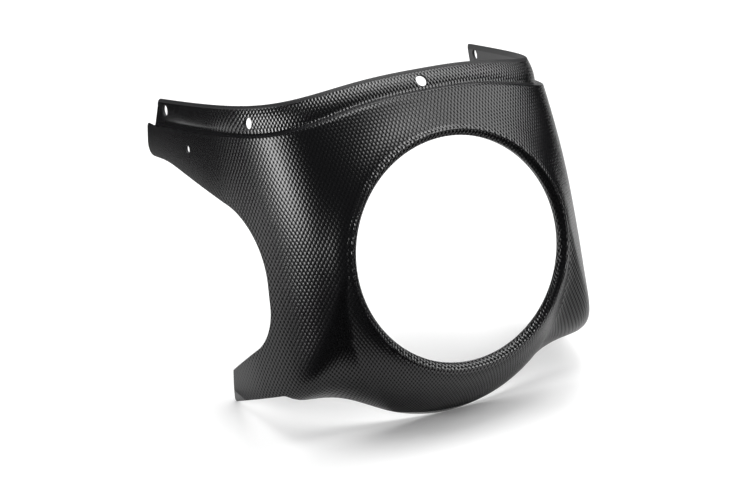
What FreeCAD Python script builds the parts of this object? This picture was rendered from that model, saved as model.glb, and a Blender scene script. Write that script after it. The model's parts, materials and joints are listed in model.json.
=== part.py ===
import FreeCAD, Part
import math
import os

# Half fairing: one thermoformed plastic shell with a round lamp opening, a set-in flange along
# its top edge for a windscreen, two side arms with a mounting hole each, and a bowl below the lamp.
# The shell is drawn in the frame of the lamp, in millimetres: X to the right, Y backwards along
# the lamp axis, Z up, with the origin in the middle of the opening. At the end it is leaned back
# until the chin and the two lower tabs stand on Z = 0.

DIMENSIONS = [
    ("lamp_bore", 185.0, "trimmed opening that takes a seven inch lamp"),
    ("wall", 2.0, "sheet thickness"),
    ("bead_radius", 4.5, "rolled bead round the opening"),
    ("bead_setback", 3.0, "bead centre in front of the opening plane"),
    ("lip_back", 1.6, "end of the trimmed lip behind the opening plane"),
    ("half_width", 148.0, "side wall from the middle, behind the shoulder"),
    ("side_flare", 0.067, "outward run of the side walls for each mm backwards"),
    ("waist_taper", 0.00033, "narrowing towards the top, a share of width for each mm up"),
    ("waist_length", 60.0, "distance behind the rim at which that narrowing is greatest"),
    ("shoulder_length", 40.0, "length over which the front turns into the side walls"),
    ("panel_rise", 1.65, "rise of the front panel above the rim for each mm backwards"),
    ("panel_curve", 0.02, "growth of that rise for each mm backwards"),
    ("panel_limit", 220.0, "height above the rim at which the front panel levels off"),
    ("corner_power", 6.0, "squareness of the upper corners far behind the rim"),
    ("corner_length", 150.0, "length over which the upper corners become square"),
    ("skirt_depth", 92.0, "bottom of the side panels below the lamp axis"),
    ("skirt_fall", 0.25, "fall of the side panels for each mm backwards"),
    ("crease_length", 18.0, "length over which the side panels come down beside the bowl"),
    ("crease_power", 1.24, "how suddenly they come down"),
    ("crease_sharpness", 14.0, "squareness of the lower corners"),
    ("bowl_growth", 27.0, "growth of the bowl radius, and its drop, behind the rim"),
    ("bowl_length", 40.0, "length over which the bowl grows"),
    ("valley_blend", 8.0, "width of the hollow between side panels and bowl"),
    ("valley_growth", 0.3, "growth of that width for each mm backwards"),
    ("joggle", 5.0, "step inwards from the skin to the windscreen flange"),
    ("step_height", 128.95, "step above the lamp axis, in the middle"),
    ("step_fall", 26.0, "drop of the step from the middle to the sides"),
    ("step_spread", 111.7, "half width over which the step drops"),
    ("step_rise", 0.0936, "rise of the step for each mm backwards"),
    ("flange_height", 145.55, "top of the flange above the lamp axis, in the middle"),
    ("flange_fall", 16.0, "drop of the flange top from the middle to the sides"),
    ("flange_spread", 107.4, "half width over which the flange top drops"),
    ("flange_rise", 0.0766, "rise of the flange top for each mm backwards"),
    ("flange_end", 227.5, "rear end of the flange behind the opening plane"),
    ("flange_corner", 5.0, "slope and rounding of the flange's upper rear corners"),
    ("arm_end_top", 242.0, "rear end of the arms, at the top"),
    ("arm_end_low", 250.4, "rear end of the arms, at the bottom"),
    ("arm_bottom", 100.1, "arm's lower edge at its end, above the lamp axis"),
    ("arm_bend", 209.5, "where the arm's lower edge starts to turn down"),
    ("arm_bend_height", 94.3, "height of the lower edge there"),
    ("cut_front", 62.6, "front of the fork cut-out behind the opening plane"),
    ("cut_top", 42.4, "upper corner of the cut-out, before its rounding"),
    ("cut_bottom", 50.0, "lower corner of the cut-out below the lamp axis"),
    ("cut_top_radius", 70.0, "rounding of the upper corner"),
    ("cut_bottom_radius", 42.0, "rounding of the lower corner"),
    ("arm_bend_radius", 150.0, "rounding where the arm's lower edge turns down"),
    ("tab_end_top", 135.1, "rear end of the lower tabs, at the top"),
    ("tab_top", 83.1, "upper corner of the tabs below the lamp axis"),
    ("tab_end_low", 143.9, "rear end of the lower tabs, at the bottom"),
    ("tab_bottom", 112.0, "lower corner of the tabs below the lamp axis"),
    ("chin_back", 58.5, "rear edge of the bowl behind the opening plane"),
    ("skirt_edge", 98.0, "where the skirt's lower edge meets that edge, below the lamp axis"),
    ("skirt_edge_radius", 8.0, "rounding between the two edges"),
    ("end_top_radius", 5.0, "rounded upper corners at the ends of the arms"),
    ("end_low_radius", 10.0, "rounded lower corners at the ends of the arms"),
    ("tab_radius", 2.0, "rounded corners of the tabs"),
    ("screw_hole", 10.0, "well nut holes in the flange"),
    ("end_hole_back", 212.3, "rear flange hole behind the opening plane"),
    ("end_hole_height", 137.6, "rear flange hole above the lamp axis"),
    ("corner_hole_back", 76.5, "corner flange hole behind the opening plane"),
    ("corner_hole_height", 125.5, "corner flange hole above the lamp axis"),
    ("middle_hole_height", 140.5, "middle flange hole above the lamp axis"),
    ("arm_hole", 7.0, "mounting hole in each arm"),
    ("arm_hole_back", 167.5, "arm hole behind the opening plane"),
    ("arm_hole_height", 105.0, "arm hole above the lamp axis"),
]

doc = FreeCAD.newDocument("half_fairing")
sheet = doc.addObject("Spreadsheet::Sheet", "Dimensions")
for row, (alias, number, note) in enumerate(DIMENSIONS, start=1):
    sheet.set("A%d" % row, note)
    sheet.set("B%d" % row, "%.10g" % number)
    sheet.setAlias("B%d" % row, alias)
doc.recompute()

READ = {alias: float(sheet.get(alias)) for alias, number, note in DIMENSIONS}


def size(alias):
    return READ[alias]


# Outer skin
# A section at a depth behind the rim is the larger of two outlines, blended where they meet:
# a superellipse for the nacelle (front panel above, side panels and skirt below) and an off-centre
# circle for the bowl. At depth 0 both are the rim circle. A skin set in by some thickness is the
# same form with smaller outlines, which start that share of the thickness further back.

BORE_RADIUS = size("lamp_bore") / 2
RIM_RADIUS = BORE_RADIUS + 2 * size("bead_radius")
RIM_PLANE = -size("bead_setback")
INSET_BACK = 0.7
BLEND_START = 4.0
SMALL = 0.001


def settle(depth, length):
    return 1 - math.exp(-depth / length)


def superellipse(angle, width, height, power):
    across = abs(math.cos(angle) / width) ** power
    upward = abs(math.sin(angle) / height) ** power
    return (across + upward) ** (-1 / power)


def nacelle_radius(angle, depth, inset):
    width = size("half_width") + size("side_flare") * depth
    width -= (size("half_width") - RIM_RADIUS) * math.exp(-depth / size("shoulder_length"))
    if math.sin(angle) >= 0:
        rise = size("panel_rise") * depth + size("panel_curve") * depth ** 2
        height = RIM_RADIUS + size("panel_limit") * settle(rise, size("panel_limit"))
        power = 2 + (size("corner_power") - 2) * settle(depth, size("corner_length"))
    else:
        sinking = (depth / size("crease_length")) ** size("crease_power")
        height = (size("skirt_depth") + size("skirt_fall") * depth) * settle(sinking, 1)
        power = size("crease_sharpness")
    return superellipse(angle, width - inset, max(height - inset, SMALL), power)


def bowl_radius(angle, depth, inset):
    growth = size("bowl_growth") * settle(depth, size("bowl_length"))
    radius = RIM_RADIUS + growth - inset
    return -growth * math.sin(angle) + math.sqrt(radius ** 2 - (growth * math.cos(angle)) ** 2)


def skin_point(angle, depth, inset=0):
    start = depth - INSET_BACK * inset
    nacelle = nacelle_radius(angle, start, inset)
    bowl = bowl_radius(angle, start, inset)
    blend = size("valley_blend") * settle(start, BLEND_START) + size("valley_growth") * start + SMALL
    share = min(max(0.5 + 0.5 * (nacelle - bowl) / blend, 0), 1)
    radius = bowl * (1 - share) + nacelle * share + blend * share * (1 - share)
    height = radius * math.sin(angle)
    waist = depth / size("waist_length")
    narrowing = size("waist_taper") * waist * math.exp(1 - waist)
    across = radius * math.cos(angle) * (1 - narrowing * height)
    return FreeCAD.Vector(across, RIM_PLANE + depth, height)


NORMAL_STEP = 0.0005


def skin_normal(angle, depth):
    step = NORMAL_STEP * RIM_RADIUS
    around = skin_point(angle + NORMAL_STEP, depth) - skin_point(angle - NORMAL_STEP, depth)
    backward = skin_point(angle, depth + step) - skin_point(angle, max(depth - step, 0))
    normal = backward.cross(around)
    normal.normalize()
    return normal


# Plugs
# A plug is the solid form inside a skin. Its side is one smooth surface drawn towards rings of
# control points on the skin, evenly spaced round each section, and its ends are flat.

RAW_POINTS = 720
RING_POINTS = 180
DEGREE = 3
# Depths of the rings behind the rim, close together where the skin turns quickly
DEPTHS = [0, 1.5, 3, 5, 7.5, 10, 13, 16, 20, 25, 31, 38, 46, 56, 70, 90, 120, 160, 210, 280]


def ring(depth, inset):
    angles = [-math.pi / 2 + 2 * math.pi * i / RAW_POINTS for i in range(RAW_POINTS + 1)]
    raw = [skin_point(angle, depth, inset) for angle in angles]
    lengths = [0.0]
    for before, after in zip(raw, raw[1:]):
        lengths.append(lengths[-1] + before.distanceToPoint(after))
    points = []
    j = 0
    for i in range(RING_POINTS):
        target = lengths[-1] * i / RING_POINTS
        while lengths[j + 1] < target:
            j += 1
        share = (target - lengths[j]) / (lengths[j + 1] - lengths[j])
        points.append(raw[j] + (raw[j + 1] - raw[j]) * share)
    return points


def plug(name, inset, first_depth):
    depths = [depth for depth in DEPTHS if depth >= first_depth]
    rings = [ring(depth, inset) for depth in depths]
    poles = [[points[i] for points in rings] for i in range(RING_POINTS)]
    around = list(range(RING_POINTS + 1))
    inside = [sum(depths[j:j + DEGREE]) / DEGREE for j in range(1, len(depths) - DEGREE)]
    along = [depths[0]] + inside + [depths[-1]]
    ends = DEGREE + 1
    surface = Part.BSplineSurface()
    repeats = [ends] + [1] * len(inside) + [ends]
    surface.buildFromPolesMultsKnots(
        poles, [1] * len(around), repeats, around, along, True, False, DEGREE, DEGREE
    )
    side = surface.toShape()
    rims = [edge for edge in side.Edges if edge.BoundBox.YLength < SMALL]
    caps = [Part.Face(Part.Wire([edge])) for edge in rims]
    closed = Part.Shell([side] + caps)
    closed.sewShape()
    solid = Part.Solid(closed)
    solid.fix(SMALL, SMALL, SMALL)
    form = doc.addObject("Part::Feature", name)
    form.Shape = solid
    return form


def boolean(kind, name, base, tool):
    result = doc.addObject("Part::" + kind, name)
    result.Base = base
    result.Tool = tool
    return result


# Blocks above an arched line
# Seen from the front the line drops from the middle to the sides, and it rises backwards.

ARCH_POWER = 2.8
REACH = 300.0
BLOCK_TOP = 420.0
BLOCK_FRONT = 40.0
ARCH_POINTS = 24


def arch_height(across, kind, back):
    drop = size(kind + "_fall") * settle((abs(across) / size(kind + "_spread")) ** ARCH_POWER, 1)
    return size(kind + "_height") - drop + size(kind + "_rise") * back


def block_above(name, kind, lowered):
    front = -BLOCK_FRONT
    spots = [REACH * (2 * i / ARCH_POINTS - 1) for i in range(ARCH_POINTS + 1)]
    line = [FreeCAD.Vector(x, front, arch_height(x, kind, front) - lowered) for x in spots]
    curve = Part.BSplineCurve()
    curve.interpolate(line)
    top = [FreeCAD.Vector(x, front, BLOCK_TOP) for x in (REACH, -REACH)]
    sides = Part.makePolygon([line[-1]] + top + [line[0]])
    profile = doc.addObject("Part::Feature", name + "_profile")
    profile.Shape = Part.Face(Part.Wire([curve.toShape()] + sides.Edges))
    block = doc.addObject("Part::Extrusion", name)
    block.Base = profile
    block.DirMode = "Custom"
    block.Dir = FreeCAD.Vector(0, 1, size(kind + "_rise"))
    block.LengthFwd = BLOCK_FRONT + REACH
    block.Solid = True
    return block


# The skin below the step, with the flange plug standing through it
outer = boolean("Cut", "outer_below_step", plug("skin", 0, 0), block_above("above_step", "step", 0))
outer = boolean("Fuse", "outer_form", outer, plug("flange_skin", size("joggle"), 7.5))
inner = boolean(
    "Cut",
    "inner_below_step",
    plug("lining", size("wall"), 3),
    block_above("above_ledge", "step", size("wall")),
)
inner = boolean("Fuse", "inner_form", inner, plug("flange_lining", size("joggle") + size("wall"), 10))
shell = boolean("Cut", "hollow_form", outer, inner)
shell = boolean("Cut", "topped_form", shell, block_above("above_flange", "flange", 0))

# Side outline
# Seen from the side: arm, fork cut-out, tab, skirt edge and bowl edge. Each corner is given by its
# place behind and above the opening's middle and by its rounding.


def rounding(corners, i):
    near = (corners[i], corners[i - 1], corners[(i + 1) % len(corners)])
    here, before, after = [FreeCAD.Vector(-REACH, back, height) for back, height, radius in near]
    radius = corners[i][2]
    before = (before - here).normalize()
    after = (after - here).normalize()
    half = before.getAngle(after) / 2
    inward = (before + after).normalize()
    centre = here + inward * (radius / math.sin(half))
    along = radius / math.tan(half)
    return here + before * along, centre - inward * radius, here + after * along, centre


def rounded_wire(corners):
    arcs = [rounding(corners, i) for i in range(len(corners))]
    edges = []
    for i, (start, middle, end, centre) in enumerate(arcs):
        edges.append(Part.LineSegment(arcs[i - 1][2], start).toShape())
        if corners[i][2] > 0:
            edges.append(Part.Arc(start, middle, end).toShape())
    return Part.Wire(edges)


# Rise of the arm's top edge above the ledge behind the flange
NOTCH_RISE = 0.4
notch = [
    arch_height(size("half_width"), "step", back) + NOTCH_RISE
    for back in (size("flange_end"), size("arm_end_top"))
]
# The flange's upper rear corner is cut at a slope, rounded where it runs into the end
flange_top = arch_height(size("half_width"), "flange", size("flange_end"))
slope_start = size("flange_end") - 2 * size("flange_corner")
tab_corner = (size("tab_end_low"), -size("tab_bottom"), size("tab_radius"))
outline = [
    (-BLOCK_FRONT, REACH, 0),
    (slope_start, REACH, 0),
    (slope_start, flange_top + size("flange_corner"), 0),
    (size("flange_end"), flange_top - size("flange_corner"), size("flange_corner")),
    (size("flange_end"), notch[0], 0),
    (size("arm_end_top"), notch[1], size("end_top_radius")),
    (size("arm_end_low"), size("arm_bottom"), size("end_low_radius")),
    (size("arm_bend"), size("arm_bend_height"), size("arm_bend_radius")),
    (size("cut_front"), size("cut_top"), size("cut_top_radius")),
    (size("cut_front"), -size("cut_bottom"), size("cut_bottom_radius")),
    (size("tab_end_top"), -size("tab_top"), size("tab_radius")),
    tab_corner,
    (size("chin_back"), -size("skirt_edge"), size("skirt_edge_radius")),
    (size("chin_back"), -REACH, 0),
    (-BLOCK_FRONT, -REACH, 0),
]
side_profile = doc.addObject("Part::Feature", "side_profile")
side_profile.Shape = Part.Face(rounded_wire(outline))
side_block = doc.addObject("Part::Extrusion", "side_block")
side_block.Base = side_profile
side_block.DirMode = "Custom"
side_block.Dir = FreeCAD.Vector(1, 0, 0)
side_block.LengthFwd = 2 * REACH
side_block.Solid = True
shell = boolean("Common", "trimmed_form", shell, side_block)

# Rim
# The bead is an arch of sheet turned about the lamp axis. Its outer leg runs into the skin and its
# inner leg ends in the trimmed lip.

bead_middle = BORE_RADIUS + size("bead_radius")
hollow_radius = size("bead_radius") - size("wall")
leg_end = RIM_PLANE + size("wall") / 2


def on_axis_plane(radius, back):
    return FreeCAD.Vector(radius, back, 0)


def turned(name, edges):
    profile = doc.addObject("Part::Feature", name + "_profile")
    profile.Shape = Part.Face(Part.Wire(edges))
    solid = doc.addObject("Part::Revolution", name)
    solid.Source = profile
    solid.Axis = FreeCAD.Vector(0, 1, 0)
    solid.Base = FreeCAD.Vector(0, 0, 0)
    solid.Angle = 360
    solid.Solid = True
    return solid


def arch_edges(radius, foot_inside, foot_outside):
    start = on_axis_plane(bead_middle - radius, RIM_PLANE)
    crest = on_axis_plane(bead_middle, RIM_PLANE - radius)
    end = on_axis_plane(bead_middle + radius, RIM_PLANE)
    inside = on_axis_plane(bead_middle - radius, foot_inside)
    outside = on_axis_plane(bead_middle + radius, foot_outside)
    return [
        Part.LineSegment(inside, start).toShape(),
        Part.Arc(start, crest, end).toShape(),
        Part.LineSegment(end, outside).toShape(),
        Part.LineSegment(outside, inside).toShape(),
    ]


bead = turned("bead", arch_edges(size("bead_radius"), size("lip_back"), leg_end))
bead_hollow = turned("bead_hollow", arch_edges(hollow_radius, 2 * REACH, 2 * REACH))
opening = doc.addObject("Part::Cylinder", "opening")
opening.setExpression("Radius", "Dimensions.lamp_bore / 2")
opening.Height = BLOCK_FRONT + REACH
opening.Placement = FreeCAD.Placement(
    FreeCAD.Vector(0, -BLOCK_FRONT, 0), FreeCAD.Rotation(FreeCAD.Vector(0, 0, 1), FreeCAD.Vector(0, 1, 0))
)
shell = boolean("Fuse", "rimmed_form", shell, bead)
shell = boolean("Cut", "rim_hollowed", shell, bead_hollow)
shell = boolean("Cut", "rim_opened", shell, opening)

# Holes
# Each is drilled along the skin's normal. A spot on the side is found by its height in a section,
# the spot in the middle of the flange by the depth at which the front panel reaches its height.


HALVINGS = 60


def root_between(low, high, misses):
    for _ in range(HALVINGS):
        middle = (low + high) / 2
        if misses(middle):
            low = middle
        else:
            high = middle
    return (low + high) / 2


def side_spot(back, height):
    depth = back - RIM_PLANE
    angle = root_between(0, math.pi / 2, lambda a: skin_point(a, depth).z < height)
    return skin_point(angle, depth), skin_normal(angle, depth)


def middle_spot(height):
    depth = root_between(0, REACH, lambda d: skin_point(math.pi / 2, d).z < height)
    return skin_point(math.pi / 2, depth), skin_normal(math.pi / 2, depth)


def mirrored(vector, side):
    return FreeCAD.Vector(vector.x * side, vector.y, vector.z)


DRILL_LENGTH = 30.0
drilled = []


def drill(name, spot, inset, side, diameter):
    point, normal = spot
    normal = mirrored(normal, side)
    centre = mirrored(point, side) - normal * (inset + size("wall") / 2)
    tool = doc.addObject("Part::Cylinder", name)
    tool.setExpression("Radius", "Dimensions.%s / 2" % diameter)
    tool.Height = DRILL_LENGTH
    turn = FreeCAD.Rotation(FreeCAD.Vector(0, 0, 1), normal)
    tool.Placement = FreeCAD.Placement(centre - normal * (DRILL_LENGTH / 2), turn)
    drilled.append((name, centre, normal))
    return boolean("Cut", name + "_cut", shell, tool)


end_spot = side_spot(size("end_hole_back"), size("end_hole_height"))
corner_spot = side_spot(size("corner_hole_back"), size("corner_hole_height"))
arm_spot = side_spot(size("arm_hole_back"), size("arm_hole_height"))
shell = drill("screw_hole_middle", middle_spot(size("middle_hole_height")), size("joggle"), 1, "screw_hole")
for word, side in (("right", 1), ("left", -1)):
    shell = drill("screw_hole_corner_" + word, corner_spot, size("joggle"), side, "screw_hole")
    shell = drill("screw_hole_end_" + word, end_spot, size("joggle"), side, "screw_hole")
    shell = drill("arm_hole_" + word, arm_spot, 0, side, "arm_hole")
doc.recompute()

# Standing pose
# The lean brings the bowl's rear edge and the rounded lower corners of the tabs to one level.

chin = skin_point(-math.pi / 2, size("chin_back") - RIM_PLANE)
tab_centre = rounding(outline, outline.index(tab_corner))[3]
apart = FreeCAD.Vector(0, tab_centre.y - chin.y, tab_centre.z - chin.z)
lean = math.atan2(apart.z, apart.y) - math.asin(size("tab_radius") / apart.Length)

fairing = doc.addObject("Part::Feature", "fairing_shell")
fairing.Label = "fairing_shell"
fairing.Shape = shell.Shape.copy()
turn = FreeCAD.Rotation(FreeCAD.Vector(1, 0, 0), -math.degrees(lean))
fairing.Placement = FreeCAD.Placement(FreeCAD.Vector(0, 0, 0), turn)
box = fairing.Shape.optimalBoundingBox(False)
shift = FreeCAD.Vector(0, -(box.YMin + box.YMax) / 2, -box.ZMin)
fairing.Placement = FreeCAD.Placement(shift, turn)
doc.recompute()

# Checks before anything is written
for item in doc.Objects:
    if "Invalid" in item.State or "Error" in item.State:
        raise RuntimeError("%s did not build: %s" % (item.Name, item.State))
if fairing.Shape.isNull() or not fairing.Shape.isValid():
    raise RuntimeError("the fairing shell is not a valid solid")

os.makedirs("parts", exist_ok=True)
fairing.Shape.exportStep("parts/%s.step" % fairing.Label)

lamp = ("lamp", FreeCAD.Vector(0, 0, 0), FreeCAD.Vector(0, -1, 0))
print("lean %.2f degrees" % math.degrees(lean))
print("%d solids, %.1f cm3" % (len(fairing.Shape.Solids), fairing.Shape.Volume / 1000))
print("box %.1f x %.1f x %.1f mm" % (box.XLength, box.YLength, box.ZLength))
for name, centre, normal in [lamp] + drilled:
    place = fairing.Placement.multVec(centre)
    way = turn.multVec(normal)
    print("%s at (%.3f, %.3f, %.3f) facing (%.5f, %.5f, %.5f)" % (name, *place, *way))
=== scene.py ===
import json
import math
import bpy
import numpy as np
from mathutils import Matrix, Vector


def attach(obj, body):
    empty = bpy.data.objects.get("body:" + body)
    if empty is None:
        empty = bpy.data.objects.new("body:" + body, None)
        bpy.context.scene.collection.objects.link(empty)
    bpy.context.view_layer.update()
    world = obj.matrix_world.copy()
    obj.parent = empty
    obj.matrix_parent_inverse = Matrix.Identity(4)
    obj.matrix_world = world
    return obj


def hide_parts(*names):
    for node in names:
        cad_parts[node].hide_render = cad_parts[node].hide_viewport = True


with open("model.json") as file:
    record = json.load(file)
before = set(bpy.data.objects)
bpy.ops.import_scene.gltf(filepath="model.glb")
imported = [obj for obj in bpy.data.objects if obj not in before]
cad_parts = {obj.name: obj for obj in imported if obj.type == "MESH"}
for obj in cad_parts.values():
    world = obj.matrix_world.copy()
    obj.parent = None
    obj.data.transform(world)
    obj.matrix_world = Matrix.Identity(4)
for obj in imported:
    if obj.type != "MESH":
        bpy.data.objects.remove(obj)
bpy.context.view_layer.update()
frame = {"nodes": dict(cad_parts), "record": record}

perMetre = 1000  # millimetres
print("frame loaded:", ", ".join(frame["nodes"]))

# Form of the shell in millimetres, in the lamp's frame: X right, Y back along the lamp axis, Z up
shellForm = {
    "boreRadius": 92.5,
    "wall": 2.0,
    "beadRadius": 4.5,
    "rimPlane": -3.0,  # plane from which depth is counted backwards
    "lipBack": 1.6,  # where the trimmed lip ends
    "lipCorner": 0.6,
    "lipCornerMiddle": (0.2, 0.15),
    "throatLength": 1.8,
    "rollLift": 1.9,  # how far the skin swells forward to meet the rolled rim
    "rollLength": 8.0,
    "crest": (1.0, 80.0, 11.0),  # on the rim: how far the bead sinks beside it, place and width in degrees
    "rollEnd": 35.0,  # where the roll's arc hands over to the skin, in degrees from outwards
    "halfWidth": 148.0,  # half the width that the sides grow to
    "sideFlare": 0.067,  # how fast they part backwards from there
    "waistTaper": 0.00033,  # narrowing with height
    "waistLength": 60.0,  # depth at which it is strongest
    "shoulderLength": 40.0,  # depth over which the rim's radius grows to the half width
    "panelRise": 1.65,  # slope of the front panel at the rim
    "panelCurve": 0.02,
    "panelLimit": 220.0,  # rise that the panel levels out at
    "cornerPower": 6.0,  # how square the shoulders become
    "cornerLength": 150.0,
    "skirtDepth": 92.0,  # how far the side panels hang below the lamp axis
    "skirtFall": 0.25,
    "creaseLength": 18.0,  # depth over which they drop to that
    "creasePower": 1.24,
    "creaseSharpness": 14.0,  # how square their lower corners are
    "bowlGrowth": 27.0,  # by how much the bowl's circle grows and sinks
    "bowlLength": 40.0,
    "valleyBlend": 8.0,  # width of the blend between panels and bowl
    "valleyGrowth": 0.3,
    "blendStart": 4.0,
    "smallest": 0.001,  # keeps heights and blends above zero
    "insetBack": 0.7,  # share of an inset by which a skin also moves back
    "joggle": 5.0,  # how far the flange is set in
    "step": (128.95, 26.0, 111.7, 0.0936),  # height, fall, spread, rise backwards
    "flange": (145.55, 16.0, 107.4, 0.0766),
    "archPower": 2.8,
    "flangeEnd": 227.5,
    "flangeCorner": 5.0,
    "chinBack": 58.5,
    "stepRoll": 1.2,  # how far the panel rolls in below the step
    "ledgeRise": 0.6,  # rise of the ledge towards the flange
    "flangeBulge": 1.1,
    "bulgeFade": 50.0,  # length over which the bulge dies out towards the flange's rear ends
}
# Side outline from the chin to the flange's rear end: back, height, rounding,
# and the angle in degrees at which its column leaves the rim
sideOutline = [
    (58.5, -104.2, 0, -36.0),
    (58.5, -98.0, 5, -32.6),
    (143.9, -112.0, 2, -28.0),
    (135.1, -83.1, 2, -25.0),
    (62.6, -50.0, 42, -13.0),
    (62.6, 42.4, 70, 12.0),
    (209.5, 94.3, 150, 23.5),
    (250.4, 100.1, 10, 26.4),
    (242.0, 128.7, 5, 26.6),
    (227.75, 125.6, 0, 27.0),
]
# How the surface is meshed: columns run from the rim to the edge, rows run round the section
shellMesh = {
    "edgeStep": 3.2,  # spacing along the side outline
    "fewestOnArc": 5,
    "fewestOnRun": 2,
    "chinColumns": 42,
    "flangeColumns": 100,
    "cornerColumns": 8,
    "cornerShare": 0.022,  # share of the flange's length that the corner columns take
    "rimBreak": (75.0, 38.0),  # a column of the step: its depth, and the angle at which it leaves the rim
    "rimSmoothing": 6,  # columns to either side in the running mean
    "edgeSamples": 400,
    "archSamples": 600,
    "archSearch": 120.0,  # how far back the middle of an arch is looked for
    "sharpCorner": 0.001,  # rounding of a line that has no rounded corner
    "outerRows": 46,
    "outerCrowding": 1.35,  # above 1 the rows crowd at the rim
    "rollRows": 8,
    "rollReach": 9.0,  # length of the panel's roll below the step
    "innerRows": 14,
    "innerCrowding": 1.2,
    "lengthProbe": 0.02,  # share of a column over which its length is measured
    "edgeRows": 7,
    "footRows": 6,
    "flangeRows": 7,
    "topRows": 7,
    "lipRows": 4,
    "insideRows": 4,
    "ledgeRows": 5,
    "hollowRows": 7,
    "beadRows": 24,
    "stepRounding": 1.5,  # outer edge of the step
    "footRounding": 1.4,  # hollow between ledge and flange
    "topRounding": 2.6,  # top edge, rolled back from the outer face
    "topShare": 0.8,  # how far across the wall that roll goes
    "lipRounding": 0.4,
    "lipShare": 0.5,  # how much of that rounding lies on the top edge
    "edgeRounding": 0.5,
    "plainRounding": 0.1,  # away from the flange
    "roundingLimit": 0.45,  # share of a run that one rounding may take
    "sharpAngle": 42,  # degrees above which an edge stays sharp
}
rimRadius = shellForm["boreRadius"] + 2 * shellForm["beadRadius"]


# Rise from 0 towards 1 that settles over a length
def settle(depth, length):
    return 1 - np.exp(-depth / length)


# Radius of |across/width|^p + |up/height|^p = 1 at an angle round the lamp axis
def superellipse(angle, width, height, power):
    across = np.abs(np.cos(angle) / width) ** power
    upward = np.abs(np.sin(angle) / height) ** power
    return (across + upward) ** (-1 / power)


# Front panel above, side panels below: the width and height grow with the depth behind the rim
def nacelleRadius(angle, depth, inset):
    form = shellForm
    width = form["halfWidth"] + form["sideFlare"] * depth - inset
    width = width - (form["halfWidth"] - rimRadius) * np.exp(-depth / form["shoulderLength"])
    rise = form["panelRise"] * depth + form["panelCurve"] * depth ** 2
    top = rimRadius + form["panelLimit"] * settle(rise, form["panelLimit"]) - inset
    power = 2 + (form["cornerPower"] - 2) * settle(depth, form["cornerLength"])
    sinking = (depth / form["creaseLength"]) ** form["creasePower"]
    low = (form["skirtDepth"] + form["skirtFall"] * depth) * settle(sinking, 1) - inset
    upper = superellipse(angle, width, top, power)
    lower = superellipse(angle, width, np.maximum(low, form["smallest"]), form["creaseSharpness"])
    return np.where(np.sin(angle) >= 0, upper, lower)


# Circle that grows and sinks behind the rim, seen from the lamp axis
def bowlRadius(angle, depth, inset):
    growth = shellForm["bowlGrowth"] * settle(depth, shellForm["bowlLength"])
    radius = rimRadius + growth - inset
    return np.sqrt(radius ** 2 - (growth * np.cos(angle)) ** 2) - growth * np.sin(angle)


# Point of the skin: the larger of nacelle and bowl, blended, then narrowed towards the top
def skinPoint(angle, depth, inset=0.0):
    form = shellForm
    start = np.maximum(depth - form["insetBack"] * inset, 0)
    nacelle = nacelleRadius(angle, start, inset)
    bowl = bowlRadius(angle, start, inset)
    blend = form["valleyBlend"] * settle(start, form["blendStart"])
    blend = blend + form["valleyGrowth"] * start + form["smallest"]
    share = np.clip(0.5 + 0.5 * (nacelle - bowl) / blend, 0, 1)
    radius = bowl * (1 - share) + nacelle * share + blend * share * (1 - share)
    up = radius * np.sin(angle)
    waist = depth / form["waistLength"]
    across = radius * np.cos(angle) * (1 - form["waistTaper"] * waist * np.exp(1 - waist) * up)
    return np.stack([across, form["rimPlane"] + depth + 0 * up, up], -1)


# Arched line: highest in the middle, falling to the sides, rising backwards
def archHeight(point, kind):
    height, fall, spread, rise = shellForm[kind]
    drop = fall * settle((np.abs(point[..., 0]) / spread) ** shellForm["archPower"], 1)
    return height - drop + rise * point[..., 1]


# Value at which a growing test stops being true, found by halving, for whole arrays
def halve(low, high, isBelow, rounds=48):
    for _ in range(rounds):
        middle = (low + high) / 2
        below = isBelow(middle)
        low = np.where(below, middle, low)
        high = np.where(below, high, middle)
    return (low + high) / 2


# Share of a line's length at each of its points
def arcShare(points):
    steps = np.linalg.norm(np.diff(points, axis=0), axis=1)
    return np.concatenate([[0], np.cumsum(steps)]) / steps.sum()


# Line on a skin where it meets an arch, from the flange's rear end to the middle, by share of its length
def archLine(kind, lowered, inset, shares, corner=shellMesh["sharpCorner"]):
    form, meshing = shellForm, shellMesh
    count = meshing["archSamples"]
    last = form["flangeEnd"] - form["rimPlane"]
    middle = np.array(math.pi / 2)

    def underArch(angle, depth):
        point = skinPoint(angle, depth, inset)
        toCorner = corner - np.clip(last - depth, 0, corner)
        rounded = corner - np.sqrt(corner ** 2 - toCorner ** 2)
        return point[..., 2] < archHeight(point, kind) - lowered - rounded

    nearest = halve(np.array(0.0), np.array(meshing["archSearch"]), lambda depth: underArch(middle, depth))
    depth = nearest + (last - nearest) * np.linspace(1, 0, count) ** 2
    angle = halve(np.zeros(count), np.full(count, math.pi / 2), lambda angle: underArch(angle, depth))
    along = arcShare(skinPoint(angle, depth, inset))
    return np.interp(shares, along, angle), np.interp(shares, along, depth)


# Each vector divided by its length
def unit(vectors, smallest=1e-9):
    return vectors / np.maximum(np.linalg.norm(vectors, axis=-1, keepdims=True), smallest)


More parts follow.
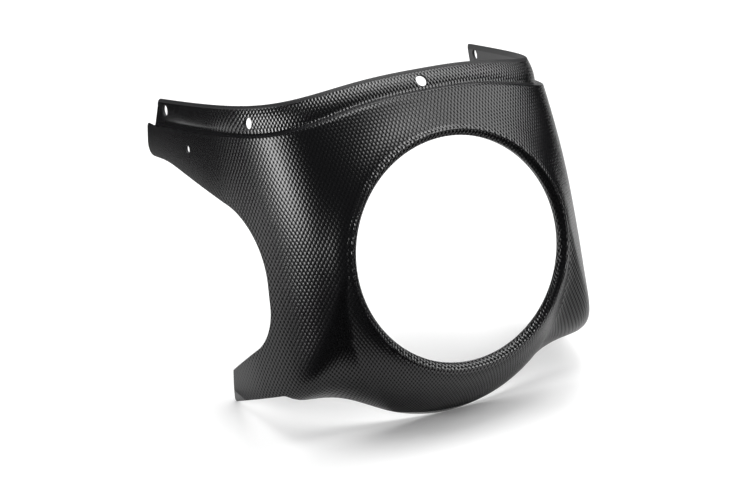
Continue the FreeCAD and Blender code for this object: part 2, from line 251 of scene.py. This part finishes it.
# Straight runs joined by arcs, as points a step apart: each arc's centre lies on the corner's bisector,
# the rounding over the sine of half the angle away
def roundedLine(corners, step):
    spots = np.array([corner[:2] for corner in corners], float)
    runs = []
    last = spots[0]
    for before, here, after, corner in zip(spots, spots[1:], spots[2:], corners[1:]):
        back, on = unit(before - here), unit(after - here)
        half = math.acos(float(back @ on)) / 2
        centre = here + unit(back + on) * corner[2] / math.sin(half)
        start = here + back * corner[2] / math.tan(half)
        first, turn = start - centre, math.pi - 2 * half
        side = math.copysign(1, float(back[0] * on[1] - back[1] * on[0]))
        count = max(shellMesh["fewestOnArc"], int(corner[2] * turn / step))
        sweep = -side * np.linspace(0, turn, count)
        cosine, sine = np.cos(sweep), np.sin(sweep)
        turned = np.stack([first[0] * cosine - first[1] * sine, first[0] * sine + first[1] * cosine], -1)
        straight = max(shellMesh["fewestOnRun"], int(np.linalg.norm(start - last) / step))
        runs.append(last + (start - last) * np.linspace(0, 1, straight, endpoint=False)[:, None])
        runs.append(centre + turned[:-1])
        last = centre + turned[-1]
    straight = max(shellMesh["fewestOnRun"], int(np.linalg.norm(spots[-1] - last) / step))
    runs.append(last + (spots[-1] - last) * np.linspace(0, 1, straight)[:, None])
    return np.concatenate(runs)


# Angle at which each column leaves the rim: straight between the outline's corners and smoothed,
# so that columns never cross on the way to the edge
def rimAngles(count, chinCount, outline, stepDepth):
    breakDepth, breakAngle = shellMesh["rimBreak"]
    spots, degrees = [0], [-90]
    for back, height, _, leaving in sideOutline:
        nearest = np.argmin(np.hypot(outline[:, 0] - back, outline[:, 1] - height))
        spots.append(chinCount + int(nearest))
        degrees.append(leaving)
    breakSpot = int(np.argmin(np.abs(stepDepth - breakDepth)))
    spots += [chinCount + len(outline) + breakSpot, count - 1]
    degrees += [breakAngle, 90]
    plain = np.interp(np.arange(count), spots, degrees)
    # running mean, with both ends carried on by their mirror images
    wide = shellMesh["rimSmoothing"]
    before = 2 * plain[0] - plain[wide:0:-1]
    after = 2 * plain[-1] - plain[-2:-wide - 2:-1]
    window = np.ones(2 * wide + 1) / (2 * wide + 1)
    return np.radians(np.convolve(np.concatenate([before, plain, after]), window, "valid"))


# Edge of the right half as angle and depth: chin, side outline, then the step up to the middle
def edgeOfHalf():
    form, meshing = shellForm, shellMesh
    outline = roundedLine(sideOutline, meshing["edgeStep"])
    sideDepth = outline[:, 0] - form["rimPlane"]
    lowest, highest = np.full(len(outline), -math.pi / 2), np.full(len(outline), math.pi / 2)
    sideAngle = halve(lowest, highest, lambda angle: skinPoint(angle, sideDepth)[..., 2] < outline[:, 1])
    chinDepth = np.full(meshing["edgeSamples"], form["chinBack"] - form["rimPlane"])
    chinFine = np.linspace(-math.pi / 2, sideAngle[0], meshing["edgeSamples"])
    chinShare = arcShare(skinPoint(chinFine, chinDepth))
    chinAngle = np.interp(np.linspace(0, 1, meshing["chinColumns"], endpoint=False), chinShare, chinFine)
    cornerShares = np.linspace(0, meshing["cornerShare"], meshing["cornerColumns"], endpoint=False)
    flangeShares = np.linspace(meshing["cornerShare"], 1, meshing["flangeColumns"])
    shares = np.concatenate([cornerShares, flangeShares])
    stepAngle, stepDepth = archLine("step", 0, form["stepRoll"], shares)
    angle = np.concatenate([chinAngle, sideAngle, stepAngle])
    depth = np.concatenate([chinDepth[: len(chinAngle)], sideDepth, stepDepth])
    onFlange = np.concatenate([np.zeros(len(angle) - len(shares)), np.ones(len(shares))])
    rim = rimAngles(len(angle), len(chinAngle), outline, stepDepth)
    return angle, depth, rim, onFlange, shares


# Right half, then its mirror image without the two middle columns
def bothHalves(half, isAngle=False):
    mirrored = math.pi - half if isAngle else half
    return np.concatenate([half, mirrored[-2:0:-1]])


# Rounded corner: before (1 - share)^2 + 2 corner share (1 - share) + after share^2
def bend(before, corner, after, count):
    share = np.linspace(0, 1, count)[None, :, None]
    pulled = before[:, None] * (1 - share) ** 2 + 2 * corner[:, None] * share * (1 - share)
    return pulled + after[:, None] * share ** 2


# Point at a distance from the start, on the way to the end
def towards(start, end, distance, limit=shellMesh["roundingLimit"]):
    gap = np.linalg.norm(end - start, axis=-1)
    return start + unit(end - start) * np.minimum(distance, limit * gap)[:, None]


# Beside the step's edge, the five lines of the joggled flange: angle and depth, and how far set in
def flangeLines(shares):
    form = shellForm
    wall, outside, rounding = form["wall"], form["joggle"], form["flangeCorner"]
    inside = outside + wall
    return {
        "foot": (archLine("step", -form["ledgeRise"], outside, shares), outside),
        "top": (archLine("flange", 0, outside, shares, rounding), outside),
        "topInside": (archLine("flange", 0, inside, shares, rounding), inside),
        "footInside": (archLine("step", wall, inside, shares), inside),
        "ledgeInside": (archLine("step", wall, wall, shares), wall),
    }


# Rim as profiles of radius and depth: hollow of the roll, trimmed lip, throat, then the roll itself,
# an arc that sinks on both sides of its crest
def rimProfiles():
    form, meshing = shellForm, shellMesh
    middle, plane = form["boreRadius"] + form["beadRadius"], form["rimPlane"]
    hollow = form["beadRadius"] - form["wall"]
    turn = np.linspace(0, math.pi, meshing["hollowRows"])
    hollowArc = np.stack([middle + hollow * np.cos(turn), plane - hollow * np.sin(turn)], -1)
    bore, back, cut = form["boreRadius"], form["lipBack"], form["lipCorner"]
    cutAcross, cutAlong = form["lipCornerMiddle"]
    lip = np.array([
        [middle - hollow, back - cut],
        [middle - hollow - cutAcross, back - cutAlong],
        [middle - hollow - cut, back],
        [bore + cut, back],
        [bore + cutAcross, back - cutAlong],
    ])
    throat = np.array([[bore, back - cut], [bore, back - cut - form["throatLength"]]])
    turn = np.linspace(math.pi, math.radians(form["rollEnd"]), meshing["beadRows"])
    crestHeight, crestPlace, crestWidth = form["crest"]
    crest = np.exp(-(((np.degrees(turn) - crestPlace) / crestWidth) ** 2))
    flattened = np.sin(np.linspace(0, math.pi, len(turn)))
    beadRadius = form["beadRadius"] + crestHeight * (crest - 1) * flattened
    beadArc = np.stack([middle + beadRadius * np.cos(turn), plane - beadRadius * np.sin(turn)], -1)
    return hollowArc, lip, throat, beadArc


# Profile of radius and depth, at every column's angle round the lamp axis
def turned(profile, rimAngle):
    radius, depth = profile[None, :, 0], profile[None, :, 1]
    angle = rimAngle[:, None]
    return np.stack([radius * np.cos(angle), depth + 0 * angle, radius * np.sin(angle)], -1)


# Closed section at every column: skin, step, flange, its top and inside, backing,
# then the rim turned about the lamp axis
def shellGrid():
    form, meshing = shellForm, shellMesh
    angle, depth, rim, onFlange, shares = edgeOfHalf()
    wall, joggle = form["wall"], form["joggle"]
    lines = flangeLines(shares)
    plainCount = len(angle) - len(shares)

    # zeros for the columns away from the flange, then the line's values
    def wholeLine(values):
        return np.concatenate([np.zeros(plainCount), values])

    edgeAngle, edgeDepth = bothHalves(angle, isAngle=True), bothHalves(depth)
    rimAngle = bothHalves(rim, isAngle=True)
    flanged = bothHalves(onFlange) > 0.5
    edge = skinPoint(edgeAngle, edgeDepth, form["stepRoll"] * flanged)
    edgeInside = skinPoint(edgeAngle, edgeDepth, wall)
    lineAngle, lineDepth, corner = {}, {}, {"edge": edge}
    # away from the flange the corners lie along the trimmed edge
    plainShare = {"foot": 0.2, "top": 0.4, "topInside": 0.6, "footInside": 0.8, "ledgeInside": 1.0}
    for name, ((angle, depth), inset) in lines.items():
        lineAngle[name] = np.where(flanged, bothHalves(wholeLine(angle), isAngle=True), edgeAngle)
        lineDepth[name] = np.where(flanged, bothHalves(wholeLine(depth)), edgeDepth)
        onSkin = skinPoint(lineAngle[name], lineDepth[name], inset)
        along = edge + (edgeInside - edge) * plainShare[name]
        corner[name] = np.where(flanged[:, None], onSkin, along)
    edgeRound = np.where(flanged, meshing["stepRounding"], meshing["edgeRounding"])
    footRound = np.where(flanged, meshing["footRounding"], meshing["plainRounding"])
    topRound = np.where(flanged, meshing["topRounding"], meshing["plainRounding"])
    lipRound = np.where(flanged, meshing["lipRounding"], meshing["plainRounding"])
    lipStart = meshing["lipShare"] * lipRound

    # columns between rim and edge: straight lines in angle and depth, with even rows on the roll at the end
    def columnRows(endAngle, endDepth, firstDepth, inset, rounding, count, crowding):
        probe = meshing["lengthProbe"]
        nearAngle = endAngle + (rimAngle - endAngle) * probe
        nearDepth = endDepth + (firstDepth - endDepth) * probe
        near = skinPoint(nearAngle, nearDepth, inset)
        length = np.linalg.norm(near - skinPoint(endAngle, endDepth, inset), axis=-1) / probe
        share = np.linspace(0, 1, count)[None, :] ** crowding
        share = (1 - (rounding + meshing["rollReach"]) / length)[:, None] * share
        rollShare = np.linspace(1, 0, meshing["rollRows"] + 1)[None, 1:]
        left = rounding[:, None] + meshing["rollReach"] * rollShare
        share = np.concatenate([share, 1 - left / length[:, None]], 1)
        rowAngle = rimAngle[:, None] + (endAngle - rimAngle)[:, None] * share
        rowDepth = firstDepth + (endDepth - firstDepth)[:, None] * share
        return rowAngle, rowDepth, (1 - share) * length[:, None]

    rowAngle, rowDepth, left = columnRows(
        edgeAngle, edgeDepth, 0.0, 0.0, edgeRound, meshing["outerRows"], meshing["outerCrowding"]
    )
    rolledIn = form["stepRoll"] * flanged[:, None] * np.clip(1 - left / meshing["rollReach"], 0, 1) ** 2
    outer = skinPoint(rowAngle, rowDepth, rolledIn)
    outer[..., 1] -= form["rollLift"] * np.exp(-((rowDepth / form["rollLength"]) ** 2))
    firstInside = form["insetBack"] * wall
    rowAngle, rowDepth, _ = columnRows(
        lineAngle["ledgeInside"], lineDepth["ledgeInside"], firstInside, wall,
        edgeRound, meshing["innerRows"], meshing["innerCrowding"],
    )
    inner = skinPoint(rowAngle, rowDepth, wall)

    # rows up the flange between two corners, on its own skin, bulged along its normal by 4 share (1 - share)
    def flangeRows(low, high, inset, lowRound, highRound, count, bulge=0.0):
        gap = np.linalg.norm(corner[high] - corner[low], axis=-1)
        first = np.minimum(lowRound / gap, meshing["roundingLimit"])
        last = 1 - np.minimum(highRound / gap, meshing["roundingLimit"])
        share = np.linspace(0, 1, count + 2)[None, 1:-1]
        place = first[:, None] + (last - first)[:, None] * share
        rowAngle = lineAngle[low][:, None] + (lineAngle[high] - lineAngle[low])[:, None] * place
        rowDepth = lineDepth[low][:, None] + (lineDepth[high] - lineDepth[low])[:, None] * place
        straight = corner[low][:, None] + (corner[high] - corner[low])[:, None] * place[..., None]
        along = np.roll(corner[low], -1, 0) - np.roll(corner[low], 1, 0)
        outwards = unit(np.cross(corner[high] - corner[low], along))[:, None]
        endFade = np.clip((form["flangeEnd"] - corner[low][:, 1]) / form["bulgeFade"], 0, 1)[:, None, None]
        swell = 4 * bulge * endFade * (share * (1 - share))[..., None]
        bulged = skinPoint(rowAngle, rowDepth, inset) + swell * outwards
        return np.where(flanged[:, None, None], bulged, straight)

    # rows round one corner, from a rounding before it to a rounding after it
    def cornerRows(before, at, after, roundBefore, roundAfter, count, limit=meshing["roundingLimit"]):
        start = towards(corner[at], corner[before], roundBefore)
        end = towards(corner[at], corner[after], roundAfter, limit)
        return bend(start, corner[at], end, count)

    edgeEnd = towards(edge, corner["foot"], edgeRound)
    ledgeStart = towards(corner["ledgeInside"], corner["footInside"], edgeRound)
    insideRows = meshing["insideRows"]
    outerFace = flangeRows(
        "foot", "top", joggle, footRound, topRound, meshing["flangeRows"], form["flangeBulge"]
    )
    topRoll = cornerRows(
        "foot", "top", "topInside", topRound, topRound, meshing["topRows"], meshing["topShare"]
    )
    bands = [
        ("skin", outer),
        ("ledge", bend(outer[:, -1], edge, edgeEnd, meshing["edgeRows"])[:, 1:]),
        ("flange", cornerRows("edge", "foot", "top", footRound, footRound, meshing["footRows"])),
        ("flange", outerFace),
        ("top", topRoll),
        ("top", cornerRows("top", "topInside", "footInside", lipStart, lipRound, meshing["lipRows"])),
        ("inside", flangeRows("topInside", "footInside", joggle + wall, lipRound, footRound, insideRows)),
        ("inside", cornerRows("topInside", "footInside", "ledgeInside", footRound, footRound, insideRows)),
        ("inside", bend(ledgeStart, corner["ledgeInside"], inner[:, -1], meshing["ledgeRows"])[:, :-1]),
        ("backing", inner[:, ::-1]),
    ]

    hollowArc, lip, throat, beadArc = (turned(profile, rimAngle) for profile in rimProfiles())
    bands += [("inside", hollowArc), ("lip", lip), ("bead", throat), ("bead", beadArc)]
    return bands, flanged, rimAngle


bands, flanged, rimAngle = shellGrid()
grid = np.concatenate([rows for name, rows in bands], axis=1)
bandNames = sum(([name] * rows.shape[1] for name, rows in bands), [])
columnCount, rowCount = grid.shape[:2]
print("shell grid:", columnCount, "columns,", rowCount, "rows")


# Lamp's frame to the standing frame in metres, read from the lamp opening's mount
mounts = {mount["name"]: mount for mount in frame["record"]["mounts"]}
lampFacing = np.array(mounts["lamp_opening"]["axis"])
lampBack = -lampFacing / np.linalg.norm(lampFacing)
lampTurn = np.stack([(1, 0, 0), lampBack, np.cross((1, 0, 0), lampBack)])
boreMiddle = (shellForm["rimPlane"] + shellForm["lipBack"]) / 2 / perMetre
lampSpot = np.array(mounts["lamp_opening"]["pos_m"]) - lampBack * boreMiddle


# Millimetres in the lamp's frame to metres, turned and moved to where the lamp stands
def standing(points):
    return lampSpot + points / perMetre @ lampTurn


# Quads of a grid that closes both ways
def gridFaces(columns, rows):
    column, row = np.meshgrid(np.arange(columns), np.arange(rows), indexing="ij")
    nextColumn, nextRow = (column + 1) % columns, (row + 1) % rows
    corners = [(column, row), (column, nextRow), (nextColumn, nextRow), (nextColumn, row)]
    return np.stack([atColumn * rows + atRow for atColumn, atRow in corners], -1).reshape(-1, 4)


# Object of any kind, linked to the scene
def addObject(name, data):
    made = bpy.data.objects.new(name, data)
    bpy.context.scene.collection.objects.link(made)
    return made


# Looks of the surfaces, and the woven emboss: sizes on the sheet in mm, depths and the fade in metres
skinLook = {
    "embossed": {"colour": (0.005, 0.005, 0.0055), "roughness": 0.22, "shine": 0.6},
    # the flange reflects more strongly than the same sheet elsewhere: a painted highlight; its deeper emboss
    # is relief
    "flange": {"colour": (0.005, 0.005, 0.0055), "roughness": 0.24, "shine": 1.0},
    "trimmed": {"colour": (0.018, 0.018, 0.019), "roughness": 0.5, "shine": 0.3},
    "drawn": {"colour": (0.008, 0.008, 0.009), "roughness": 0.3, "shine": 0.4},
    "inside": {"colour": (0.02, 0.02, 0.021), "roughness": 0.42, "shine": 0.4},
    "weaveAcross": 3.3,
    "weaveUp": 5.5,
    "weaveDepth": 0.00022,
    "flangeDepth": 0.0004,
    "fade": (0.085, 0.14, 0.05),  # the weave flattens behind the lamp: from, to, and what is left
    "sideStretch": 0.3,  # how much longer the pattern is drawn on the sides
    "topStretch": (0.5, 1.5),  # how far the sheet is stretched upwards: beside the lamp, growth above it
    "levelBias": 0.02,  # keeps the level direction defined where the skin faces straight up
    "shadedValleyRange": (0.35, 0.8),  # heights between which the reflection grows out of the painted shade in the emboss valleys
    # reflection left in the emboss valleys: painted shade
    "shadedValleyShine": 0.03,
    "grain": 900.0,
    "grainDepth": 0.00001,
}


# Emboss coordinates in mm, counted from the rim along each column: u adds the run along the level,
# v the run up the slope, of which only the rise counts above the lamp, where the sheet is stretched
def embossCoordinates():
    stretchStart, stretchGrowth = skinLook["topStretch"]
    rimRows = sum(name in ("lip", "bead") for name in bandNames)
    rows = np.roll(grid, rimRows, 1)
    normal = unit(np.cross(np.gradient(rows, axis=1), np.roll(rows, -1, 0) - np.roll(rows, 1, 0)))
    aside, back = normal[..., 0], normal[..., 1]
    level = unit(np.stack([skinLook["levelBias"] - back, aside, 0 * aside], -1))
    slope = np.cross(normal, level)
    steps = np.diff(rows, axis=1)
    level, slope, normal = ((values[:, 1:] + values[:, :-1]) / 2 for values in (level, slope, normal))
    stretched = np.clip(stretchStart + stretchGrowth * np.sin(rimAngle), 0, 1)[:, None]
    upward = np.sum(steps * slope, -1) * (1 - stretched + stretched * np.abs(slope[..., 2]))
    along = np.sum(steps * level, -1) * (1 - skinLook["sideStretch"] * normal[..., 0] ** 2)
    runs = np.stack([along, upward], -1)
    places = np.concatenate([np.zeros((columnCount, 1, 2)), np.cumsum(runs, 1)], 1)
    rim = rimRadius * np.stack([np.cos(rimAngle), np.sin(rimAngle)], -1)[:, None]
    return np.roll(places - places[:, rimRows:rimRows + 1] + rim, -rimRows, 1)


# Plain material: colour, roughness and strength of reflection
def newMaterial(name, look):
    material = bpy.data.materials.new(name)
    material.use_nodes = True
    shader = material.node_tree.nodes["Principled BSDF"]
    shader.inputs["Base Color"].default_value = (*look["colour"], 1)
    shader.inputs["Roughness"].default_value = look["roughness"]
    shader.inputs["Specular IOR Level"].default_value = look["shine"]
    return material, material.node_tree, shader


# One step of arithmetic on numbers or sockets
def mathNode(tree, operation, *values):
    node = tree.nodes.new("ShaderNodeMath")
    node.operation = operation
    for socket, value in zip(node.inputs, values):
        if isinstance(value, (int, float)):
            socket.default_value = value
        else:
            tree.links.new(value, socket)
    return node.outputs[0]


# Height from 0 to 1 as relief of a depth in metres
def addBump(tree, shader, height, distance):
    bump = tree.nodes.new("ShaderNodeBump")
    bump.inputs["Strength"].default_value = 1
    bump.inputs["Distance"].default_value = distance
    tree.links.new(height, bump.inputs["Height"])
    tree.links.new(bump.outputs["Normal"], shader.inputs["Normal"])


# Woven emboss: the mean of |cos| along both diagonals gives rounded lozenges with sharp valleys,
# which flatten behind the lamp; the valleys reflect less than the lozenges, as painted shade in the hollows
def embossedMaterial(name, look, depth):
    material, tree, shader = newMaterial(name, look)
    sheet = tree.nodes.new("ShaderNodeUVMap")
    sheet.uv_map = "sheet"
    split = tree.nodes.new("ShaderNodeSeparateXYZ")
    tree.links.new(sheet.outputs["UV"], split.inputs[0])
    across = mathNode(tree, "MULTIPLY", split.outputs["X"], math.pi / skinLook["weaveAcross"])
    upward = mathNode(tree, "MULTIPLY", split.outputs["Y"], math.pi / skinLook["weaveUp"])
    ridges = [
        mathNode(tree, "ABSOLUTE", mathNode(tree, "COSINE", mathNode(tree, way, across, upward)))
        for way in ("ADD", "SUBTRACT")
    ]
    height = mathNode(tree, "MULTIPLY", mathNode(tree, "ADD", *ridges), 0.5)
    place = tree.nodes.new("ShaderNodeTexCoord")
    behind = tree.nodes.new("ShaderNodeVectorMath")
    behind.operation = "DOT_PRODUCT"
    behind.inputs[1].default_value = lampBack
    tree.links.new(place.outputs["Object"], behind.inputs[0])
    fadeStart, fadeEnd, fadeLeft = skinLook["fade"]
    lampPlace = float(lampSpot @ lampBack)
    fade = tree.nodes.new("ShaderNodeMapRange")
    fade.inputs["From Min"].default_value = lampPlace + fadeStart
    fade.inputs["From Max"].default_value = lampPlace + fadeEnd
    fade.inputs["To Min"].default_value, fade.inputs["To Max"].default_value = 1, fadeLeft
    tree.links.new(behind.outputs["Value"], fade.inputs["Value"])
    sunk = mathNode(tree, "MULTIPLY", mathNode(tree, "SUBTRACT", 1.0, height), fade.outputs["Result"])
    height = mathNode(tree, "SUBTRACT", 1.0, sunk)
    addBump(tree, shader, height, depth)
    # painted shade: the reflection sinks towards the valleys of the emboss, as if they lay in shade
    shine = tree.nodes.new("ShaderNodeMapRange")
    shine.inputs["From Min"].default_value, shine.inputs["From Max"].default_value = skinLook["shadedValleyRange"]
    shine.inputs["To Min"].default_value = skinLook["shadedValleyShine"]
    shine.inputs["To Max"].default_value = look["shine"]
    tree.links.new(height, shine.inputs["Value"])
    tree.links.new(shine.outputs["Result"], shader.inputs["Specular IOR Level"])
    return material


# Plain material with a fine noise as relief
def grainedMaterial(name, look):
    material, tree, shader = newMaterial(name, look)
    place = tree.nodes.new("ShaderNodeTexCoord")
    grain = tree.nodes.new("ShaderNodeTexNoise")
    grain.inputs["Scale"].default_value = skinLook["grain"]
    tree.links.new(place.outputs["Object"], grain.inputs["Vector"])
    addBump(tree, shader, grain.outputs["Fac"], skinLook["grainDepth"])
    return material


screwHoles = {"sides": 40, "reach": 0.007}  # reach in metres to either side of the skin
# Material slot of each band of rows
surfaceSlots = {"skin": 0, "top": 1, "lip": 1, "inside": 2, "backing": 2, "flange": 3, "bead": 3, "ledge": 4}


# Screw holes: cylinders along the mounts' axes, to be taken out of the shell
def holeCutter():
    sides, reach = screwHoles["sides"], screwHoles["reach"]
    # half a step off, so that no corner falls on the shell's middle column
    turn = (np.arange(sides) + 0.5) * 2 * math.pi / sides
    points, faces = [], []
    for name, mount in mounts.items():
        if name == "lamp_opening":
            continue
        axis = np.array(mount["axis"]) / np.linalg.norm(mount["axis"])
        first = np.cross(axis, (0, 0, 1.0))
        first /= np.linalg.norm(first)
        ring = np.cos(turn)[:, None] * first + np.sin(turn)[:, None] * np.cross(axis, first)
        ring = np.array(mount["pos_m"]) + ring * mount["dims"]["r_mm"] / perMetre
        base = sum(len(part) for part in points)
        points += [ring - axis * reach, ring + axis * reach]
        low, high = base + np.arange(sides), base + sides + np.arange(sides)
        faces += np.stack([low, np.roll(low, -1), np.roll(high, -1), high], -1).tolist()
        faces += [low[::-1].tolist(), high.tolist()]
    mesh = bpy.data.meshes.new("holes")
    mesh.from_pydata(np.concatenate(points).tolist(), [], faces)
    mesh.polygons.foreach_set("material_index", np.full(len(faces), surfaceSlots["lip"], np.int32))
    return addObject("holes", mesh)


# Shell: the grid as quads, with its sheet coordinates and surfaces, less the holes
def buildShell():
    spots = standing(grid).reshape(-1, 3)
    faces = gridFaces(columnCount, rowCount)
    mesh = bpy.data.meshes.new("fairingSkin")
    mesh.from_pydata(spots.tolist(), [], faces.tolist())
    sheet = mesh.uv_layers.new(name="sheet")
    places = embossCoordinates().reshape(-1, 2)
    sheet.data.foreach_set("uv", places[faces.ravel()].astype(np.float32).ravel())
    # each face takes the surface of its row; away from the flange all edge rows are trimmed
    slots = np.tile([surfaceSlots[name] for name in bandNames], (columnCount, 1))
    firstEdge = bandNames.index("ledge")
    edgeRows = np.arange(rowCount)
    backingStart = bandNames.index("backing")
    plain = ~(flanged & np.roll(flanged, -1))
    slots[plain[:, None] & (edgeRows >= firstEdge - 1) & (edgeRows < backingStart)] = surfaceSlots["lip"]
    mesh.polygons.foreach_set("material_index", slots.ravel().astype(np.int32))
    mesh.materials.append(embossedMaterial("embossedSkin", skinLook["embossed"], skinLook["weaveDepth"]))
    mesh.materials.append(grainedMaterial("trimmedEdge", skinLook["trimmed"]))
    mesh.materials.append(grainedMaterial("smoothInside", skinLook["inside"]))
    # the flange's copy of the skin with a stronger reflection, as a painted highlight
    mesh.materials.append(embossedMaterial("embossedFlangePaintedHighlight", skinLook["flange"], skinLook["flangeDepth"]))
    mesh.materials.append(grainedMaterial("drawnLedge", skinLook["drawn"]))
    shell = addObject("fairingShell", mesh)
    cutter = holeCutter()
    holes = shell.modifiers.new("holes", "BOOLEAN")
    holes.operation, holes.solver, holes.object = "DIFFERENCE", "EXACT", cutter
    bpy.context.view_layer.update()
    finished = bpy.data.meshes.new_from_object(shell.evaluated_get(bpy.context.evaluated_depsgraph_get()))
    shell.modifiers.clear()
    shell.data = finished
    bpy.data.objects.remove(cutter)
    finished.shade_smooth()
    finished.set_sharp_from_angle(angle=math.radians(shellMesh["sharpAngle"]))
    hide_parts("fairing_shell")
    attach(shell, "root")
    return shell


shell = buildShell()
print("shell:", len(shell.data.polygons), "faces")

# Studio: a pale floor, soft boxes, and dark cards that only reflections see, which paint shade into the
# floor's reflections
studio = {
    "floorColour": (0.9, 0.9, 0.9),
    "floorLift": 0.15,
    "floorHalf": 6.0,
    "world": 0.03,
    # name, power in watts, width and height in metres, place, and the spot it faces
    "lights": [
        ("softboxLeft", 18.0, 0.72, 0.72, (-1.58, 0.14, 0.46), (0, 0, 0.18)),
        ("softboxRight", 25.0, 1.5, 1.5, (1.26, -0.46, 1.49), (0, 0, 0.15)),
        ("softboxTop", 18.0, 0.9, 0.9, (0.0, -0.2, 1.9), (0, -0.05, 0.2)),
        ("softboxBack", 20.0, 1.6, 1.2, (0.64, 1.11, 1.68), (0, 0, 0.15)),
    ],
    # left, right, nearest and farthest edge in metres from the origin as the camera sees it, and the grey
    # dark and grey cards: painted shade in what the shell reflects of the floor
    "shadeReflectionCards": [
        (-5.0, 5.0, -5.0, -0.22, 0.003),
        (-5.0, -0.5, 0.08, 5.0, 0.003),
        (0.62, 5.0, -0.22, 5.0, 0.003),
        (-0.5, 0.62, 1.2, 5.0, 0.003),
        (-0.5, 0.62, -0.22, 1.2, 0.7),
    ],
    "shadeReflectionCardHeight": 0.002,
}
# Camera of the photograph, in the lamp's frame: place in mm, its right and down directions,
# focal length and sensor width
photoCamera = {
    "place": (-719.113, -1432.716, 255.979),
    "right": (0.894096, -0.422945, -0.147345),
    "down": (-0.1959, -0.073457, -0.977869),
    "lens": 98.36,
    "sensor": 36.0,
}


# Camera turned with the lamp: right, up, and backwards as their cross product
def addCamera():
    right = np.array(photoCamera["right"]) @ lampTurn
    up = -np.array(photoCamera["down"]) @ lampTurn
    data = bpy.data.cameras.new("photoCamera")
    data.lens, data.sensor_width = photoCamera["lens"], photoCamera["sensor"]
    camera = addObject("photoCamera", data)
    turn = Matrix(np.stack([right, up, np.cross(right, up)], -1).tolist()).to_4x4()
    camera.matrix_world = Matrix.Translation(standing(np.array(photoCamera["place"])).tolist()) @ turn
    bpy.context.scene.camera = camera
    return camera


# One quad of the stage
def flatSheet(name, corners, material):
    mesh = bpy.data.meshes.new(name)
    mesh.from_pydata(np.array(corners, float).tolist(), [], [(0, 1, 2, 3)])
    mesh.materials.append(material)
    sheet = addObject(name, mesh)
    return sheet


# Floor: pale paper, lifted to white where the camera or a reflection sees it
def addFloor():
    material = bpy.data.materials.new("palePaper")
    material.use_nodes = True
    tree = material.node_tree
    tree.nodes.remove(tree.nodes["Principled BSDF"])
    paper = tree.nodes.new("ShaderNodeBsdfDiffuse")
    paper.inputs["Color"].default_value = (*studio["floorColour"], 1)
    lift = tree.nodes.new("ShaderNodeEmission")
    path = tree.nodes.new("ShaderNodeLightPath")
    seen = mathNode(tree, "MAXIMUM", path.outputs["Is Camera Ray"], path.outputs["Is Glossy Ray"])
    seen = mathNode(tree, "MAXIMUM", seen, path.outputs["Is Transmission Ray"])
    tree.links.new(mathNode(tree, "MULTIPLY", seen, studio["floorLift"]), lift.inputs["Strength"])
    both = tree.nodes.new("ShaderNodeAddShader")
    tree.links.new(paper.outputs[0], both.inputs[0])
    tree.links.new(lift.outputs[0], both.inputs[1])
    tree.links.new(both.outputs[0], tree.nodes["Material Output"].inputs["Surface"])
    half = studio["floorHalf"]
    flatSheet("floor", [(-half, -half, 0), (half, -half, 0), (half, half, 0), (-half, half, 0)], material)


# Cards just above the floor, laid out along the camera's level line of sight, for glossy rays alone: painted
# dark reflections of the floor
def addShadeReflectionCards(camera):
    sight = -np.array(camera.matrix_world.col[2])[:3]
    ahead = unit(sight * (1, 1, 0))
    across = np.array([ahead[1], -ahead[0], 0])
    for number, (left, right, near, far, grey) in enumerate(studio["shadeReflectionCards"]):
        look = {"colour": (grey, grey, grey), "roughness": 1.0, "shine": 0.0}
        material = newMaterial("shadeReflectionCard" + str(number), look)[0]
        lift = np.array([0, 0, studio["shadeReflectionCardHeight"] * (1 + number)])
        places = ((left, near), (right, near), (right, far), (left, far))
        corners = [lift + across * side + ahead * distance for side, distance in places]
        shadeReflectionCard = flatSheet("shadeReflectionCard" + str(number), corners, material)
        # seen by glossy rays alone, so the card only paints shade into reflections
        shadeReflectionCard.visible_camera = shadeReflectionCard.visible_diffuse = shadeReflectionCard.visible_shadow = shadeReflectionCard.visible_transmission = False


# Soft boxes, each turned from its place to its aim, and a faint even surrounding
def addLights():
    for name, power, width, height, place, aim in studio["lights"]:
        data = bpy.data.lights.new(name, "AREA")
        data.shape, data.size, data.size_y, data.energy = "RECTANGLE", width, height, power
        lamp = addObject(name, data)
        lamp.location = place
        back = lamp.location - Vector(aim)
        lamp.rotation_euler = back.to_track_quat("Z", "Y").to_euler()
    world = bpy.data.worlds.new("studioWorld")
    world.use_nodes = True
    world.node_tree.nodes["Background"].inputs["Strength"].default_value = studio["world"]
    world.node_tree.nodes["Background"].inputs["Color"].default_value = (1, 1, 1, 1)
    bpy.context.scene.world = world


addFloor()
addShadeReflectionCards(addCamera())
addLights()
bpy.context.scene.view_settings.view_transform = "Standard"
print("studio ready")
